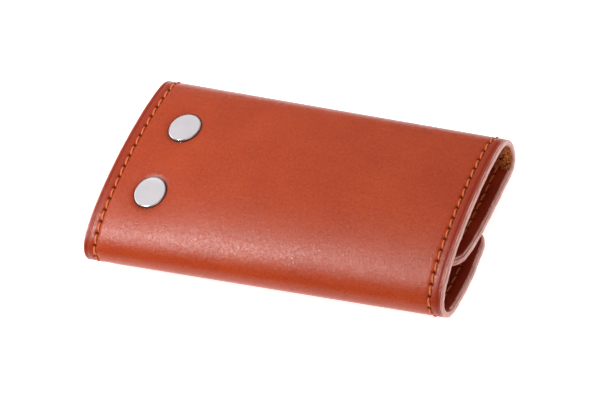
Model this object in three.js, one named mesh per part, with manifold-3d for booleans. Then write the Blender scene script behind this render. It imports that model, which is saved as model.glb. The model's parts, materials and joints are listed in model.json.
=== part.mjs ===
// Wrap-around leather key case, closed: a cover sheet folded in three round a riveted key rail,
// held shut by two press studs. Millimetres, +X along the folds, +Z up, resting on its back.
import * as THREE from "three";
import { mergeVertices } from "three/addons/utils/BufferGeometryUtils.js";
import Module from "manifold-3d";

const wasm = await Module();
wasm.setup();

// ---- driving dimensions ----
const LENGTH = 117.2;
const COVER = 1.6; // outer leather
const LINING = 0.7; // inner leather on the two flaps
const GAP = 0.3; // clearance between pieces that touch
const CORNER_RADIUS = 6; // free corners of the flaps
const SKEW = 0.2; // a corner's curve starts and ends this far outside the flap, to cross its faces cleanly
const SEAM_INSET = 4; // stitch line in from each end
const SEAM_GAP = 1; // room that the thread leaves at each crease
const THREAD = 0.6;
const FINEST = 0.01; // slivers thinner than this are merged away after a cut

// The folds are arcs seen along X: centre, outer radius and the angles where the rigid parts meet.
const NEAR = { y: -25.32, z: 9.81, radius: 5.22, front: 124, upper: 140, lower: 218, flap: 236 };
const FAR = { y: 24.11, z: 8.05, radius: 6.38, front: 54, upper: 37, lower: -75, flap: -100 };
const FRONT_NEAR_HANDLE = 13.8; // how far the front panel keeps the direction of each fold
const FRONT_FAR_HANDLE = 6.8;
const OUTER_FLAP_Z = 1.25; // flat underside of the outer flap
const OUTER_FLAP_FLAT_Y = -10.6; // where it becomes flat
const OUTER_FLAP_EDGE_Y = 3.4; // its free edge
const OUTER_FLAP_HANDLE = 3.5;
const INNER_FLAP_TIP = { y: -16, z: 12.6, angle: 43, handle: 10.8 };
const INNER_FLAP_FOLD_HANDLE = 12;

// The whole case narrows towards the open end and is a little twisted along its length.
const TAPER = 0.00098; // share of Y lost for each mm of X
const TWIST = 0.00078; // rise in Z for each mm of X and each mm of Y
const TWIST_Y = -6; // the Y that the twist leaves level

// Between the studs the inner flap is pressed flat; it springs up towards the open end.
const PRESS_DEPTH = 3.4;
const PRESS_FROM_Y = 2;
const PRESS_TO_Y = -14;
const PRESS_END_X = 30;

// Key rail, its two rivets and four hooks.
const RIVETS = [
  { name: "near", x: -42.6, y: -11.1 },
  { name: "far", x: -41.9, y: 12.8 },
];
const RIVET = { cap: 5, capHeight: 0.9, stem: 1.3, hole: 1.8, foot: 3, footHeight: 0.6 };
const RAIL = { drop: 0.9, thickness: 0.9, back: -4.5, front: 3.8, length: 30, barrelX: 5.6 };
const BARREL = { radius: 1.5, bore: 0.85, pin: 0.6 };
const HOOK = { count: 4, pitch: 7.1, eyeWidth: 2.8, thickness: 1.4, droop: 2.5, droopStep: 2 };
const LOOP = { start: 4, end: 21, halfWidth: 3.4, wire: 1.2 };
const GATE = { start: 8.4, end: 15, pivotX: 7.2, pin: 0.3, hole: 0.5, tab: 0.5, slot: 0.9 };

// Press studs.
const STUDS_X = [-28, 28];
const STUD_Y = -4.3;
const STUD = {
  cap: 6.2,
  capHeight: 0.85,
  stem: 1.1,
  hole: 1.7,
  socketZ: 4.15,
  socketTop: 4.7,
  socketRadius: 4.1,
  socketBore: 2.3,
  studZ: 4.85,
  studFlange: 3.2,
  studFlangeHeight: 0.3,
  nipple: 1.8,
  nippleDepth: 0.55,
  footZ: 8.85,
  footTilt: -3,
  footHeight: 0.5,
  footRadius: 3.9,
};

// ---- materials ----
function finish(color, roughness, metalness) {
  return new THREE.MeshStandardMaterial({ color, roughness, metalness });
}
const COVER_LEATHER = finish(0xb85231, 0.45, 0);
const LINING_LEATHER = finish(0x6a2113, 0.55, 0);
const SEAM_THREAD = finish(0xe57a3c, 0.7, 0);
const NICKEL = finish(0xd4d2d8, 0.3, 1);
const STEEL = finish(0xb9babd, 0.35, 1);

const keyCase = new THREE.Group();

function addPart(name, geometry, material, parent = keyCase) {
  const mesh = new THREE.Mesh(geometry, material);
  mesh.name = name;
  parent.add(mesh);
  return mesh;
}

// ---- booleans ----
function toSolid(geometry) {
  const bare = geometry.clone();
  bare.deleteAttribute("normal");
  bare.deleteAttribute("uv");
  const merged = mergeVertices(bare, 1e-4);
  const triVerts = merged.index.array;
  const vertProperties = merged.attributes.position.array;
  return new wasm.Manifold(new wasm.Mesh({ numProp: 3, vertProperties, triVerts }));
}

function toGeometry(solid) {
  const mesh = solid.simplify(FINEST).getMesh();
  const geometry = new THREE.BufferGeometry();
  geometry.setAttribute("position", new THREE.BufferAttribute(mesh.vertProperties, 3));
  geometry.setIndex(new THREE.BufferAttribute(mesh.triVerts, 1));
  geometry.computeVertexNormals();
  return geometry;
}

function joined(...geometries) {
  return toGeometry(geometries.map(toSolid).reduce((a, b) => a.add(b)));
}

function cut(geometry, ...cutters) {
  return toGeometry(cutters.map(toSolid).reduce((a, b) => a.subtract(b), toSolid(geometry)));
}

// ---- plain shapes ----
function box(x0, x1, y0, y1, z0, z1) {
  const geometry = new THREE.BoxGeometry(x1 - x0, y1 - y0, z1 - z0);
  return geometry.translate((x0 + x1) / 2, (y0 + y1) / 2, (z0 + z1) / 2);
}

function upright(radius, z0, z1, segments = 24) {
  const geometry = new THREE.CylinderGeometry(radius, radius, z1 - z0, segments);
  return geometry.rotateX(Math.PI / 2).translate(0, 0, (z0 + z1) / 2);
}

// A turned piece about +Z, from [radius, z] pairs that start and end on the axis.
function turned(profile, segments = 24) {
  const points = profile.map(([radius, z]) => new THREE.Vector2(radius, z));
  return new THREE.LatheGeometry(points, segments).rotateX(Math.PI / 2);
}

function ring(outer, bore, width) {
  const half = width / 2;
  const corners = [[bore, -half], [outer, -half], [outer, half], [bore, half], [bore, -half]];
  return new THREE.LatheGeometry(corners.map(([r, y]) => new THREE.Vector2(r, y)), 20);
}

// ---- the cover's outer line, seen along X: points, each with the direction that faces out ----
const radians = THREE.MathUtils.degToRad;

function arcPoint(fold, degrees) {
  const out = new THREE.Vector2(Math.cos(radians(degrees)), Math.sin(radians(degrees)));
  const at = out.clone().multiplyScalar(fold.radius).add(new THREE.Vector2(fold.y, fold.z));
  return { at, out };
}

// A place on a fold's arc, moved clockwise along its tangent.
function past(fold, degrees, distance) {
  const { at, out } = arcPoint(fold, degrees);
  return new THREE.Vector2(out.y, -out.x).multiplyScalar(distance).add(at);
}

function arcPoints(fold, from, to) {
  const steps = Math.max(2, Math.round(Math.abs(to - from) / 11));
  const points = [];
  for (let i = 0; i <= steps; i += 1) {
    points.push(arcPoint(fold, from + ((to - from) * i) / steps));
  }
  return points;
}

// A curve travelled clockwise, so that its outside is on the left.
function curvePoints(start, startHandle, endHandle, end, steps) {
  const curve = new THREE.CubicBezierCurve(start, startHandle, endHandle, end);
  const points = [];
  for (let i = 0; i <= steps; i += 1) {
    const travel = curve.getTangent(i / steps);
    points.push({ at: curve.getPoint(i / steps), out: new THREE.Vector2(-travel.y, travel.x) });
  }
  return points;
}

function frontLine() {
  const start = past(NEAR, NEAR.front, 0);
  const end = past(FAR, FAR.front, 0);
  const startHandle = past(NEAR, NEAR.front, FRONT_NEAR_HANDLE);
  const endHandle = past(FAR, FAR.front, -FRONT_FAR_HANDLE);
  return curvePoints(start, startHandle, endHandle, end, 14);
}

function outerFlapLine() {
  const down = new THREE.Vector2(0, -1);
  const edge = { at: new THREE.Vector2(OUTER_FLAP_EDGE_Y, OUTER_FLAP_Z), out: down };
  const flat = new THREE.Vector2(OUTER_FLAP_FLAT_Y, OUTER_FLAP_Z);
  const flatHandle = new THREE.Vector2(-OUTER_FLAP_HANDLE, 0).add(flat);
  const foldHandle = past(NEAR, NEAR.flap, -OUTER_FLAP_HANDLE);
  const fold = past(NEAR, NEAR.flap, 0);
  return [edge, ...curvePoints(flat, flatHandle, foldHandle, fold, 9)];
}

function innerFlapLine() {
  const start = past(FAR, FAR.flap, 0);
  const startHandle = past(FAR, FAR.flap, INNER_FLAP_FOLD_HANDLE);
  const tip = new THREE.Vector2(INNER_FLAP_TIP.y, INNER_FLAP_TIP.z);
  const lean = radians(INNER_FLAP_TIP.angle);
  const endHandle = new THREE.Vector2(Math.cos(lean), -Math.sin(lean));
  endHandle.multiplyScalar(INNER_FLAP_TIP.handle).add(tip);
  return curvePoints(start, startHandle, endHandle, tip, 16);
}

function joinLines(...lines) {
  return lines.reduce((all, line) => [...all, ...line.slice(1)]);
}

// The five parts of the cover, parted by a gap at each crease.
function coverLines(gap) {
  const near = THREE.MathUtils.radToDeg(gap / 2 / NEAR.radius);
  const far = THREE.MathUtils.radToDeg(gap / 2 / FAR.radius);
  return {
    outer_flap: joinLines(outerFlapLine(), arcPoints(NEAR, NEAR.flap, NEAR.lower + near)),
    near_fold: arcPoints(NEAR, NEAR.lower - near, NEAR.upper + near),
    front: joinLines(
      arcPoints(NEAR, NEAR.upper - near, NEAR.front),
      frontLine(),
      arcPoints(FAR, FAR.front, FAR.upper + far),
    ),
    far_fold: arcPoints(FAR, FAR.upper - far, FAR.lower + far),
    inner_flap: joinLines(arcPoints(FAR, FAR.lower - far, FAR.flap), innerFlapLine()),
  };
}
const LINES = coverLines(GAP);

// ---- leather ----
function offsetLine(line, depth) {
  return line.map(({ at, out }) => out.clone().multiplyScalar(-depth).add(at));
}

// A sheet between two depths under the line, running from x0 to x1.
function sheet(line, top, bottom, x0, x1, steps) {
  const outline = [...offsetLine(line, top), ...offsetLine(line, bottom).reverse()];
  const depth = x1 - x0;
  const geometry = new THREE.ExtrudeGeometry(new THREE.Shape(outline), {
    depth,
    steps,
    bevelEnabled: false,
  });
  const turn = new THREE.Matrix4().makeBasis(
    new THREE.Vector3(0, 1, 0),
    new THREE.Vector3(0, 0, 1),
    new THREE.Vector3(1, 0, 0),
  );
  return geometry.applyMatrix4(turn).translate(x0, 0, 0);
}

function pressedDepth(x, y) {
  const across = THREE.MathUtils.smoothstep(PRESS_FROM_Y - y, 0, PRESS_FROM_Y - PRESS_TO_Y);
  const towardsEnd = THREE.MathUtils.clamp((x - PRESS_END_X) / (LENGTH / 2 - PRESS_END_X), 0, 1);
  return PRESS_DEPTH * across * (1 - towardsEnd ** 2);
}

// Where a point of the straight case lies in the tapered and twisted one.
function settle(x, y, z) {
  return new THREE.Vector3(x, y * (1 - TAPER * x), z + TWIST * x * (y - TWIST_Y));
}

function settled(geometry, pressed = false) {
  const position = geometry.attributes.position;
  for (let i = 0; i < position.count; i += 1) {
    const x = position.getX(i);
    const y = position.getY(i);
    const press = pressed ? pressedDepth(x, y) : 0;
    const place = settle(x, y, position.getZ(i) - press);
    position.setXYZ(i, place.x, place.y, place.z);
  }
  return geometry;
}

// Everything outside a rounded free edge at edgeY, on the side that `side` points to.
function cornerCutters(edgeY, side) {
  return [-1, 1].map((end) => {
    const corner = new THREE.Shape();
    const x = (LENGTH / 2) * end;
    const inX = x - CORNER_RADIUS * end;
    const inY = edgeY - CORNER_RADIUS * side;
    corner.moveTo(x + end, inY);
    corner.lineTo(x + SKEW * end, inY);
    corner.quadraticCurveTo(x, edgeY, inX, edgeY + SKEW * side);
    corner.lineTo(inX, edgeY + 3 * side);
    corner.lineTo(x + end, edgeY + 3 * side);
    const cutter = new THREE.ExtrudeGeometry(corner, {
      depth: 40,
      bevelEnabled: false,
      curveSegments: 6,
    });
    return cutter.translate(0, 0, -10);
  });
}

const PLAIN_STEPS = 6;
const PRESSED_STEPS = 12;
const COVER_BOTTOM = COVER;
const LINING_TOP = COVER + GAP;
const LINING_BOTTOM = LINING_TOP + LINING;

function fullSheet(line, top, bottom, steps, pressed) {
  return settled(sheet(line, top, bottom, -LENGTH / 2, LENGTH / 2, steps), pressed);
}

function rivetHoles() {
  return RIVETS.map(({ x, y }) => {
    const hole = upright(RIVET.hole, -6, 6, 16);
    return hole.rotateX(frontTilt(x, y)).translate(x, y, frontHeight(x, y));
  });
}

function studHoles() {
  return STUDS_X.map((x) => upright(STUD.hole, -1, 12, 16).translate(x, STUD_Y, 0));
}

// Height of the front panel's outer face at a place seen from above.
function frontHeight(x, y) {
  const line = LINES.front.map(({ at }) => settle(x, at.x, at.y));
  const i = line.findIndex((point, k) => k > 0 && point.y >= y);
  const a = line[i - 1];
  const b = line[i];
  return a.z + ((b.z - a.z) * (y - a.y)) / (b.y - a.y);
}

function frontTilt(x, y) {
  return Math.atan((frontHeight(x, y + 2) - frontHeight(x, y - 2)) / 4);
}

addPart(
  "front_panel",
  cut(fullSheet(LINES.front, 0, COVER_BOTTOM, PLAIN_STEPS), ...rivetHoles()),
  COVER_LEATHER,
);
addPart("near_fold", fullSheet(LINES.near_fold, 0, COVER_BOTTOM, PLAIN_STEPS), COVER_LEATHER);
addPart("far_fold", fullSheet(LINES.far_fold, 0, COVER_BOTTOM, PLAIN_STEPS), COVER_LEATHER);

const outerFlapCutters = [...cornerCutters(OUTER_FLAP_EDGE_Y, 1), ...studHoles()];
const innerFlapCutters = [...cornerCutters(INNER_FLAP_TIP.y, -1), ...studHoles()];
addPart(
  "outer_flap",
  cut(fullSheet(LINES.outer_flap, 0, COVER_BOTTOM, PLAIN_STEPS), ...outerFlapCutters),
  COVER_LEATHER,
);
addPart(
  "outer_flap_lining",
  cut(fullSheet(outerFlapLine(), LINING_TOP, LINING_BOTTOM, PLAIN_STEPS), ...outerFlapCutters),
  LINING_LEATHER,
);
addPart(
  "inner_flap",
  cut(fullSheet(LINES.inner_flap, 0, COVER_BOTTOM, PRESSED_STEPS, true), ...innerFlapCutters),
  COVER_LEATHER,
);
addPart(
  "inner_flap_lining",
  cut(
    fullSheet(innerFlapLine(), LINING_TOP, LINING_BOTTOM, PRESSED_STEPS, true),
    ...innerFlapCutters,
  ),
  LINING_LEATHER,
);

// Seam threads: one raised run along each end of each part of the cover.
const SEAM_LINES = coverLines(SEAM_GAP);
SEAM_LINES.outer_flap = SEAM_LINES.outer_flap.slice(1); // it stops short of the rounded corner
SEAM_LINES.inner_flap = SEAM_LINES.inner_flap.slice(0, -2);
const SEAM_ENDS = { rail_end: -1, open_end: 1 };
for (const [part, line] of Object.entries(SEAM_LINES)) {
  for (const [end, side] of Object.entries(SEAM_ENDS)) {
    const middle = side * (LENGTH / 2 - SEAM_INSET);
    const run = sheet(line, -0.35, -0.1, middle - THREAD / 2, middle + THREAD / 2, 1);
    addPart(`${part}_seam_${end}`, settled(run, part === "inner_flap"), SEAM_THREAD);
  }
}

// ---- rivets ----
for (const { name, x, y } of RIVETS) {
  const place = new THREE.Group();
  place.position.set(x, y, frontHeight(x, y));
  place.rotation.x = frontTilt(x, y);
  keyCase.add(place);
  const railZ = -COVER - RAIL.drop - RAIL.thickness;
  const top = GAP + RIVET.capHeight;
  const cap = turned([
    [0, railZ],
    [RIVET.stem, railZ],
    [RIVET.stem, GAP],
    [RIVET.cap, GAP],
    [RIVET.cap, top - 0.25],
    [RIVET.cap - 0.35, top],
    [0, top],
  ]);
  addPart(`rivet_cap_${name}`, cap, NICKEL, place);
  const footTop = railZ - GAP - 0.1;
  const foot = turned([
    [0, footTop - RIVET.footHeight],
    [RIVET.foot, footTop - RIVET.footHeight],
    [RIVET.foot, footTop - 0.15],
    [RIVET.foot - 0.4, footTop],
    [0, footTop],
  ]);
  addPart(`rivet_foot_${name}`, foot, NICKEL, place);
}

// ---- key rail: local +X towards the hooks, +Y along the rail, origin midway between the rivets ----
const [nearRivet, farRivet] = RIVETS.map(({ x, y }) => new THREE.Vector3(x, y, frontHeight(x, y)));
const rivetSpan = farRivet.distanceTo(nearRivet);
const railAlong = farRivet.clone().sub(nearRivet).normalize();
const railUp = new THREE.Vector3(1, 0, 0).cross(railAlong).normalize();
const rail = new THREE.Group();
rail.setRotationFromMatrix(
  new THREE.Matrix4().makeBasis(railAlong.clone().cross(railUp), railAlong, railUp),
);
rail.position.lerpVectors(nearRivet, farRivet, 0.5).addScaledVector(railUp, -COVER);
keyCase.add(rail);

const plateTop = -RAIL.drop;
const plateBottom = plateTop - RAIL.thickness;
const pinZ = plateTop - BARREL.radius;
const hookY = (i) => (i - (HOOK.count - 1) / 2) * HOOK.pitch;

function knuckleSpans() {
  const eye = HOOK.eyeWidth / 2 + GAP;
  const spans = [[-RAIL.length / 2, hookY(0) - eye]];
  for (let i = 1; i < HOOK.count; i += 1) {
    spans.push([hookY(i - 1) + eye, hookY(i) - eye]);
  }
  spans.push([hookY(HOOK.count - 1) + eye, RAIL.length / 2]);
  return spans;
}

function railPlate() {
  const half = RAIL.length / 2;
  let plate = toSolid(box(RAIL.back, RAIL.front, -half, half, plateBottom, plateTop));
  for (const [from, to] of knuckleSpans()) {
    const middle = (from + to) / 2;
    const tab = box(RAIL.front - 0.5, RAIL.barrelX, from, to, plateBottom, plateTop);
    const roll = ring(BARREL.radius, BARREL.bore, to - from).translate(RAIL.barrelX, middle, pinZ);
    plate = plate.add(toSolid(tab)).add(toSolid(roll));
  }
  const bore = new THREE.CylinderGeometry(BARREL.bore, BARREL.bore, RAIL.length + 2, 20);
  plate = plate.subtract(toSolid(bore.translate(RAIL.barrelX, 0, pinZ)));
  for (const y of [-rivetSpan / 2, rivetSpan / 2]) {
    const hole = upright(RIVET.hole, plateBottom - 1, plateTop + 1, 16).translate(0, y, 0);
    plate = plate.subtract(toSolid(hole));
  }
  return toGeometry(plate);
}

addPart("key_rail", railPlate(), STEEL, rail);
const pin = new THREE.CylinderGeometry(BARREL.pin, BARREL.pin, RAIL.length, 12);
addPart("rail_pin", pin.translate(RAIL.barrelX, 0, pinZ), STEEL, rail);

// ---- hooks: local origin on the pin, +X out to the tip ----
function loopOutline(halfWidth, start, end) {
  const outline = new THREE.Shape();
  outline.moveTo(start + halfWidth, -halfWidth);
  outline.absarc(end - halfWidth, 0, halfWidth, -Math.PI / 2, Math.PI / 2);
  outline.absarc(start + halfWidth, 0, halfWidth, Math.PI / 2, (Math.PI * 3) / 2);
  return outline;
}

function hookGeometry() {
  const half = HOOK.thickness / 2;
  const inner = LOOP.halfWidth - LOOP.wire;
  const outline = loopOutline(LOOP.halfWidth, LOOP.start, LOOP.end);
  const window = loopOutline(inner, LOOP.start + LOOP.wire, LOOP.end - LOOP.wire);
  outline.holes.push(window);
  const settings = { depth: HOOK.thickness, bevelEnabled: false, curveSegments: 8 };
  const loop = new THREE.ExtrudeGeometry(outline, settings).translate(0, 0, -half);
  const shank = box(1.1, LOOP.start + 0.8, -1, 1, -half, half);
  const eye = ring(BARREL.radius, BARREL.bore, HOOK.eyeWidth);
  const whole = joined(loop, shank, eye);
  const mouth = box(GATE.start, GATE.end, inner - 0.5, LOOP.halfWidth + 1, -half - 1, half + 1);
  const fork = box(GATE.pivotX - 2.1, GATE.start + 1, inner - 0.8, LOOP.halfWidth + 1, -GATE.slot / 2, GATE.slot / 2);
  const pinHole = upright(GATE.hole, -half - 1, half + 1, 12).translate(GATE.pivotX, gateY(), 0);
  const bore = new THREE.CylinderGeometry(BARREL.bore, BARREL.bore, HOOK.eyeWidth + 2, 20);
  return cut(whole, mouth, fork, pinHole, bore);
}

function gateY() {
  return LOOP.halfWidth - LOOP.wire / 2;
}

function gateGeometry() {
  const halfBar = LOOP.wire / 2 - 0.05;
  const tab = upright(0.95, -GATE.tab / 2, GATE.tab / 2, 16);
  const arm = box(0, 2.2, -halfBar, halfBar, -GATE.tab / 2, GATE.tab / 2);
  const bar = box(1.8, GATE.end - GATE.pivotX - GAP, -halfBar, halfBar, -HOOK.thickness / 2, HOOK.thickness / 2);
  const hole = upright(GATE.hole, -2, 2, 12);
  return cut(joined(tab, arm, bar), hole);
}

for (let i = 0; i < HOOK.count; i += 1) {
  const hook = new THREE.Group();
  hook.position.set(RAIL.barrelX, hookY(i), pinZ);
  hook.rotation.y = radians(HOOK.droop + i * HOOK.droopStep);
  rail.add(hook);
  addPart(`key_hook_${i + 1}`, hookGeometry(), STEEL, hook);
  addPart(`hook_gate_${i + 1}`, gateGeometry().translate(GATE.pivotX, gateY(), 0), NICKEL, hook);
  const gatePin = upright(GATE.pin, -HOOK.thickness / 2, HOOK.thickness / 2, 12);
  addPart(`gate_pin_${i + 1}`, gatePin.translate(GATE.pivotX, gateY(), 0), STEEL, hook);
}

// ---- press studs: cap and socket on the outer flap, stud and foot on the inner flap ----
STUDS_X.forEach((x, i) => {
  const place = new THREE.Group();
  place.position.set(x, STUD_Y, 0);
  keyCase.add(place);
  const cap = turned([
    [0, 0],
    [STUD.cap - 0.4, 0],
    [STUD.cap, 0.3],
    [STUD.cap, STUD.capHeight],
    [STUD.stem, STUD.capHeight],
    [STUD.stem, STUD.socketZ - GAP],
    [0, STUD.socketZ - GAP],
  ]);
  addPart(`stud_cap_${i + 1}`, cap, NICKEL, place);
  const socketHeight = STUD.socketTop - STUD.socketZ;
  const socket = ring(STUD.socketRadius, STUD.socketBore, socketHeight).rotateX(Math.PI / 2);
  socket.translate(0, 0, STUD.socketZ + socketHeight / 2);
  addPart(`stud_socket_${i + 1}`, socket, NICKEL, place);
  const studTop = STUD.studZ + STUD.studFlangeHeight;
  const stud = turned([
    [0, STUD.studZ - STUD.nippleDepth],
    [STUD.nipple - 0.3, STUD.studZ - STUD.nippleDepth],
    [STUD.nipple, STUD.studZ - STUD.nippleDepth + 0.25],
    [STUD.nipple, STUD.studZ],
    [STUD.studFlange, STUD.studZ],
    [STUD.studFlange, studTop],
    [0, studTop],
  ]);
  addPart(`stud_${i + 1}`, stud, NICKEL, place);
  const foot = turned([
    [0, studTop + GAP - STUD.footZ],
    [STUD.stem, studTop + GAP - STUD.footZ],
    [STUD.stem, 0],
    [STUD.footRadius, 0],
    [STUD.footRadius - 0.4, STUD.footHeight],
    [0, STUD.footHeight],
  ]);
  const footMesh = addPart(`stud_foot_${i + 1}`, foot, NICKEL, place);
  footMesh.position.z = STUD.footZ;
  footMesh.rotation.x = radians(STUD.footTilt);
});

export default keyCase;
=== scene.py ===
# Looks of the wrap-around leather key case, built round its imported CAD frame.
# Shapes are worked out in millimetres, in the frame's own axes, and stored in metres.
import json

import bpy
import numpy as np
from mathutils import Matrix, Vector

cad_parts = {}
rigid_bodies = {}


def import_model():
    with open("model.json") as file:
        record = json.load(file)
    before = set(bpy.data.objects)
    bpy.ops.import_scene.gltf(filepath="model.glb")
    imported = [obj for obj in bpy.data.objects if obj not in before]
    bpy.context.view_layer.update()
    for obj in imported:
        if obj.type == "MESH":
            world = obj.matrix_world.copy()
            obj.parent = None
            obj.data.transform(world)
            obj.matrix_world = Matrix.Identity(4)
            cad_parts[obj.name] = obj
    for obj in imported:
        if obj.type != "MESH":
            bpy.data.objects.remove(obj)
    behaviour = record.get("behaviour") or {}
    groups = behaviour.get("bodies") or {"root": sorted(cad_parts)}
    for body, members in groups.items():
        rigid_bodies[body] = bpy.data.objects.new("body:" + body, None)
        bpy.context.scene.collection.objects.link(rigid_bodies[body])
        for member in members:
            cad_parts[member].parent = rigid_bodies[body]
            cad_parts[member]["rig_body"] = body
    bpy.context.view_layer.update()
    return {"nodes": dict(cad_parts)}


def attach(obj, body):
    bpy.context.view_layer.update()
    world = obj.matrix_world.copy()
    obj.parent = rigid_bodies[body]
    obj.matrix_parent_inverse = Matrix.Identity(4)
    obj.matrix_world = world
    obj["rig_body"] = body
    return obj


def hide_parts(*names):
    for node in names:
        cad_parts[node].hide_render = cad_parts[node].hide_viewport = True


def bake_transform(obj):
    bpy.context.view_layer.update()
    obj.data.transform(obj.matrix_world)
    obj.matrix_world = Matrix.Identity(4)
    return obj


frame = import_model()
MM = 0.001

# ---- sizes that the CAD part also has ----
LENGTH = 117.2
HALF = LENGTH / 2
CORNER_RADIUS = 6.0
SEAM_INSET = 4.0
NEAR = {"y": -25.32, "z": 9.81, "radius": 5.22, "front": 124, "upper": 140, "lower": 218, "flap": 236}
FAR = {"y": 24.11, "z": 8.05, "radius": 6.38, "front": 54, "upper": 37, "lower": -75, "flap": -100}
FRONT_NEAR_HANDLE = 13.8
FRONT_FAR_HANDLE = 6.8
OUTER_FLAP_Z = 1.25
OUTER_FLAP_FLAT_Y = -10.6
OUTER_FLAP_EDGE_Y = 3.4
OUTER_FLAP_HANDLE = 3.5
INNER_FLAP_TIP = {"y": -16.0, "z": 12.6, "angle": 43, "handle": 10.8}
INNER_FLAP_FOLD_HANDLE = 12.0
TAPER = 0.00098
TWIST = 0.00078
TWIST_Y = -6.0
PRESS_DEPTH = 3.4
PRESS_FROM_Y = 2.0
PRESS_TO_Y = -14.0
PRESS_END_X = 30.0
PRESS_MARGIN = 5.0  # only the inner flap is pressed down, from this far before its fold ends
RIVETS = {"near": (-42.6, -11.1), "far": (-41.9, 12.8)}
STUDS = {"1": (-28.0, -4.3), "2": (28.0, -4.3)}
STUD_CAP_LARGER = 1.2  # a stud cap's radius, over a rivet cap's

# ---- the leather and the thread as they look ----
COVER = 1.85  # thickness, without the CAD's gap to the lining
LINING = 0.8
LINING_GAP = 0.02  # keeps the lining's face off the cover's
LINING_INSET = 0.12  # the lining is cut this much smaller at the ends
EDGE_ROUND = 0.42  # rounding of the cut edges
EDGE_BULGE = 0.1  # the cut edges swell a little, unevenly
CREASE_INSET = 1.35  # embossed line beside the edge
STITCH = 3.62  # from hole to hole
THREAD_HALF_WIDTH = 0.32
THREAD_HALF_HEIGHT = 0.27
HOLE_RADIUS = 0.58
HOLE_REACH = 1.2  # a hole doesn't change the rows that are further off than this
SHORTENED = 0.06  # share of a stitch left off at each end
SLANT = 0.2  # each stitch leans across the seam by about this much
BLEND_REACH = 18  # degrees of a fold on either side of a crease that take part in its bend

# Hollows of the faces, as (depth, width): bell-shaped along a line or round a point
RIVET_PULL = (0.42, 7.5)
CREASE_LINE = (0.13, 0.3)
SEAM_GROOVE = (0.16, 0.75)
INNER_SEAM_GROOVE = (0.10, 0.7)
# Flat seats pressed by the metal, as (depth, radius of the floor, radius of the rim)
RIVET_SEAT = (0.3, 4.6, 6.4)
STUD_SEAT = (0.25, 5.8, 7.8)
OUTER_HOLE_DEPTH = 0.38
INNER_HOLE_DEPTH = 0.28


# ---- the outer line of the cover, seen along X ----
def on_arc(fold, degrees):
    """Points of a fold's arc, and the directions that face out there."""
    angle = np.radians(np.asarray(degrees, float))
    out = np.stack([np.cos(angle), np.sin(angle)], -1)
    return np.array([fold["y"], fold["z"]]) + fold["radius"] * out, out


def past(fold, degrees, distance):
    """A place on a fold's arc, moved along the direction of travel."""
    at, out = on_arc(fold, degrees)
    return at + distance * np.array([out[1], -out[0]])


def bezier(a, b, c, d, count=240):
    t = np.linspace(0, 1, count)[:, None]
    at = (1 - t) ** 3 * a + 3 * (1 - t) ** 2 * t * b + 3 * (1 - t) * t**2 * c + t**3 * d
    travel = 3 * (1 - t) ** 2 * (b - a) + 6 * (1 - t) * t * (c - b) + 3 * t**2 * (d - c)
    travel /= np.linalg.norm(travel, axis=1, keepdims=True)
    return at, np.stack([-travel[:, 1], travel[:, 0]], -1)


def cover_line():
    """The whole line from the outer flap's edge to the inner flap's edge, with its landmarks."""
    flat = np.array([OUTER_FLAP_FLAT_Y, OUTER_FLAP_Z])
    y = np.linspace(OUTER_FLAP_EDGE_Y, OUTER_FLAP_FLAT_Y, 60)
    straight = np.stack([y, np.full_like(y, OUTER_FLAP_Z)], -1)
    down = np.tile([0.0, -1.0], (len(y), 1))
    lean = np.radians(INNER_FLAP_TIP["angle"])
    tip = np.array([INNER_FLAP_TIP["y"], INNER_FLAP_TIP["z"]])
    before_tip = tip + INNER_FLAP_TIP["handle"] * np.array([np.cos(lean), -np.sin(lean)])
    parts = [
        (straight, down),
        bezier(
            flat,
            flat - [OUTER_FLAP_HANDLE, 0],
            past(NEAR, NEAR["flap"], -OUTER_FLAP_HANDLE),
            past(NEAR, NEAR["flap"], 0),
        ),
        on_arc(NEAR, np.linspace(NEAR["flap"], NEAR["front"], 200)),
        bezier(
            past(NEAR, NEAR["front"], 0),
            past(NEAR, NEAR["front"], FRONT_NEAR_HANDLE),
            past(FAR, FAR["front"], -FRONT_FAR_HANDLE),
            past(FAR, FAR["front"], 0),
        ),
        on_arc(FAR, np.linspace(FAR["front"], FAR["flap"], 200)),
        bezier(
            past(FAR, FAR["flap"], 0),
            past(FAR, FAR["flap"], INNER_FLAP_FOLD_HANDLE),
            before_tip,
            tip,
        ),
    ]
    at = np.concatenate([p[0] for p in parts])
    out = np.concatenate([p[1] for p in parts])
    run = np.concatenate([[0], np.cumsum(np.linalg.norm(np.diff(at, axis=0), axis=1))])
    ends = run[np.cumsum([len(p[0]) for p in parts]) - 1]
    return at, out, run, ends


LINE_AT, LINE_OUT, LINE_RUN, LINE_ENDS = cover_line()
RUN_OUTER_FOLD = LINE_ENDS[1]  # where the outer flap meets the near fold
RUN_FRONT = LINE_ENDS[2]
RUN_FRONT_END = LINE_ENDS[3]
RUN_INNER_FOLD = LINE_ENDS[4]
RUN_TIP = LINE_ENDS[5]


def middle_angle(fold):
    """Halfway between a fold's two creases, where the cover is divided into pieces."""
    return (fold["upper"] + fold["lower"]) / 2


RUN_NEAR_MIDDLE = RUN_FRONT - NEAR["radius"] * np.radians(middle_angle(NEAR) - NEAR["front"])
RUN_FAR_MIDDLE = RUN_FRONT_END + FAR["radius"] * np.radians(FAR["front"] - middle_angle(FAR))


def smoothstep(value, low, high):
    t = np.clip((value - low) / (high - low), 0, 1)
    return t * t * (3 - 2 * t)


def hollow(away, shape):
    """A bell-shaped hollow of (depth, width), at a distance from its middle."""
    depth, width = shape
    return depth * np.exp(-((away / width) ** 2))


def seat(away, shape):
    """A flat round hollow of (depth, radius of the floor, radius of the rim)."""
    depth, floor_radius, rim_radius = shape
    return depth * (1 - smoothstep(away, floor_radius, rim_radius))


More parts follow.
